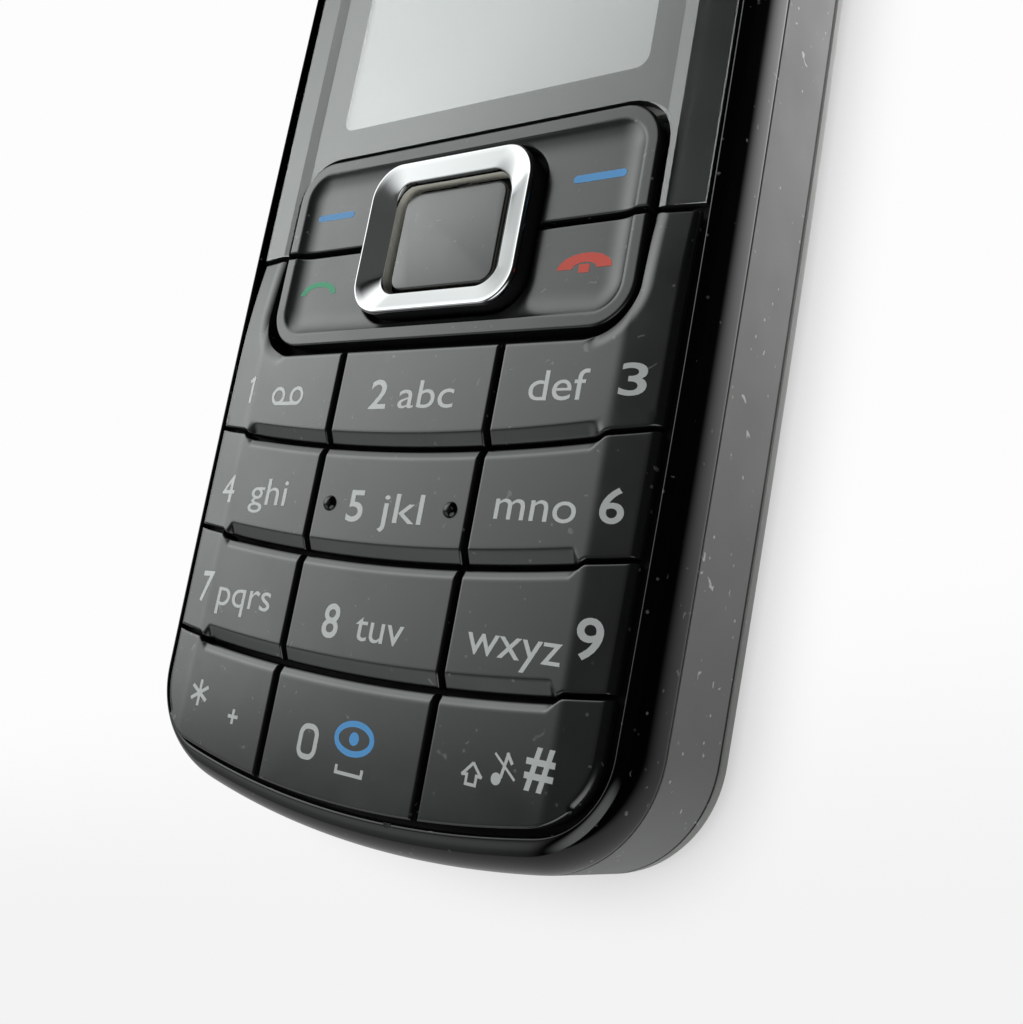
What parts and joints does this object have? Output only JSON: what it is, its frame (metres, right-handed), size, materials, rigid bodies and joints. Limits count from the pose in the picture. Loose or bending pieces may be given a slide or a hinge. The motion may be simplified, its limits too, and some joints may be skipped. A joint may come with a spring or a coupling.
{
  "type": "feature phone",
  "caption": "Bar-shaped mobile phone with a display window, number keys, a bright square navigation ring, function key bars and a sliding battery cover.",
  "frame": {"origin": "middle of the footprint on the back face", "axes": "+X right, +Y towards the earpiece, +Z out of the display"},
  "size_m": [0.0456, 0.1084, 0.0154],
  "materials": {
    "gloss_black": "high gloss, lightly scratched",
    "key_plastic": "semi-gloss dark grey",
    "clear_window": "clear, polished",
    "black_mask": "satin black",
    "display_grey": "unlit grey display",
    "white_plastic": "satin white",
    "chrome": "bright, worn at the edges",
    "black_plastic": "satin black",
    "dark_rubber": "matte",
    "dome_film": "thin film with metal domes",
    "green_board": "solder mask",
    "sheet_steel": "tinned sheet",
    "dense_metal": "sintered",
    "band_grey": "fine matte, dusty",
    "cover_grey": "fine matte",
    "antenna_foil": "foil on a carrier",
    "battery_wrap": "printed film wrap"
  },
  "bodies": {
    "casing": {"front_frame": "gloss_black", "display_window": "clear_window", "camera_window": "clear_window", "window_adhesive": "black_mask", "earpiece_mesh": "black_mask", "display_module": "display_grey", "display_holder": "white_plastic", "earpiece": "black_plastic", "camera_module": "black_plastic", "loudspeaker": "black_plastic", "battery_connector": "black_plastic", "charger_socket": "black_plastic", "headset_jack": "black_plastic", "keymat": "dark_rubber", "dome_sheet": "dome_film", "main_board": "green_board", "baseband_shield": "sheet_steel", "radio_shield": "sheet_steel", "sim_holder": "sheet_steel", "card_reader": "sheet_steel", "usb_port": "sheet_steel", "vibration_motor": "sheet_steel", "microphone": "sheet_steel", "power_switch": "sheet_steel", "screws": "sheet_steel", "mid_frame": "band_grey", "rear_top_cover": "cover_grey", "antenna": "antenna_foil", "battery": "battery_wrap"},
    "key_1": {"key_1": "key_plastic"},
    "key_2": {"key_2": "key_plastic"},
    "key_3": {"key_3": "key_plastic"},
    "key_4": {"key_4": "key_plastic"},
    "key_5": {"key_5": "key_plastic"},
    "key_6": {"key_6": "key_plastic"},
    "key_7": {"key_7": "key_plastic"},
    "key_8": {"key_8": "key_plastic"},
    "key_9": {"key_9": "key_plastic"},
    "key_star": {"key_star": "key_plastic"},
    "key_0": {"key_0": "key_plastic"},
    "key_hash": {"key_hash": "key_plastic"},
    "soft_key_bar": {"soft_key_bar": "key_plastic"},
    "call_key_bar": {"call_key_bar": "key_plastic"},
    "nav_pad": {"nav_pad": "dark_rubber"},
    "nav_key": {"nav_ring": "chrome", "nav_skirt": "black_plastic"},
    "select_key": {"select_key": "key_plastic"},
    "power_key": {"power_key": "black_plastic"},
    "battery_cover": {"battery_cover": "cover_grey"},
    "vibration_weight": {"vibration_weight": "dense_metal"}
  },
  "joints": [
    {"name": "key_1_press", "type": "slide", "parent": "casing", "child": "key_1", "axis": [0, 0, -1], "range_m": [0, 0.0003], "stiffness_N_per_m": 200, "deforming": ["dome_sheet"]},
    {"name": "key_2_press", "type": "slide", "parent": "casing", "child": "key_2", "axis": [0, 0, -1], "range_m": [0, 0.0003], "stiffness_N_per_m": 200, "deforming": ["dome_sheet"]},
    {"name": "key_3_press", "type": "slide", "parent": "casing", "child": "key_3", "axis": [0, 0, -1], "range_m": [0, 0.0003], "stiffness_N_per_m": 200, "deforming": ["dome_sheet"]},
    {"name": "key_4_press", "type": "slide", "parent": "casing", "child": "key_4", "axis": [0, 0, -1], "range_m": [0, 0.0003], "stiffness_N_per_m": 200, "deforming": ["dome_sheet"]},
    {"name": "key_5_press", "type": "slide", "parent": "casing", "child": "key_5", "axis": [0, 0, -1], "range_m": [0, 0.0003], "stiffness_N_per_m": 200, "deforming": ["dome_sheet"]},
    {"name": "key_6_press", "type": "slide", "parent": "casing", "child": "key_6", "axis": [0, 0, -1], "range_m": [0, 0.0003], "stiffness_N_per_m": 200, "deforming": ["dome_sheet"]},
    {"name": "key_7_press", "type": "slide", "parent": "casing", "child": "key_7", "axis": [0, 0, -1], "range_m": [0, 0.0003], "stiffness_N_per_m": 200, "deforming": ["dome_sheet"]},
    {"name": "key_8_press", "type": "slide", "parent": "casing", "child": "key_8", "axis": [0, 0, -1], "range_m": [0, 0.0003], "stiffness_N_per_m": 200, "deforming": ["dome_sheet"]},
    {"name": "key_9_press", "type": "slide", "parent": "casing", "child": "key_9", "axis": [0, 0, -1], "range_m": [0, 0.0003], "stiffness_N_per_m": 200, "deforming": ["dome_sheet"]},
    {"name": "key_star_press", "type": "slide", "parent": "casing", "child": "key_star", "axis": [0, 0, -1], "range_m": [0, 0.0003], "stiffness_N_per_m": 200, "deforming": ["dome_sheet"]},
    {"name": "key_0_press", "type": "slide", "parent": "casing", "child": "key_0", "axis": [0, 0, -1], "range_m": [0, 0.0003], "stiffness_N_per_m": 200, "deforming": ["dome_sheet"]},
    {"name": "key_hash_press", "type": "slide", "parent": "casing", "child": "key_hash", "axis": [0, 0, -1], "range_m": [0, 0.0003], "stiffness_N_per_m": 200, "deforming": ["dome_sheet"]},
    {"name": "select_press", "type": "slide", "parent": "casing", "child": "select_key", "axis": [0, 0, -1], "range_m": [0, 0.0003], "stiffness_N_per_m": 200, "deforming": ["dome_sheet"]},
    {"name": "soft_key_bar_rock", "type": "hinge", "parent": "casing", "child": "soft_key_bar", "pos_m": [0, -0.00985, 0.0129], "axis": [0, 1, 0], "range_deg": [-1.3, 1.3], "stiffness_Nm_per_rad": 0.03, "deforming": ["dome_sheet"]},
    {"name": "call_key_bar_rock", "type": "hinge", "parent": "casing", "child": "call_key_bar", "pos_m": [0, -0.00985, 0.0129], "axis": [0, 1, 0], "range_deg": [-1.3, 1.3], "stiffness_Nm_per_rad": 0.03, "deforming": ["dome_sheet"]},
    {"name": "nav_tilt_up_down", "type": "hinge", "parent": "casing", "child": "nav_pad", "pos_m": [0, -0.00985, 0.0129], "axis": [1, 0, 0], "range_deg": [-2, 2], "stiffness_Nm_per_rad": 0.01, "deforming": ["dome_sheet"]},
    {"name": "nav_tilt_left_right", "type": "hinge", "parent": "nav_pad", "child": "nav_key", "pos_m": [0, -0.00985, 0.0136], "axis": [0, 1, 0], "range_deg": [-2, 2], "stiffness_Nm_per_rad": 0.01, "deforming": ["dome_sheet"]},
    {"name": "power_press", "type": "slide", "parent": "casing", "child": "power_key", "axis": [0, -1, 0], "range_m": [0, 0.00035], "stiffness_N_per_m": 200},
    {"name": "battery_cover_slide", "type": "slide", "parent": "casing", "child": "battery_cover", "axis": [0, -1, 0], "range_m": [0, 0.085]},
    {"name": "vibration_spin", "type": "hinge", "parent": "casing", "child": "vibration_weight", "pos_m": [0.013, 0.0409, 0.00503], "axis": [0, 1, 0], "continuous": true}
  ]
}
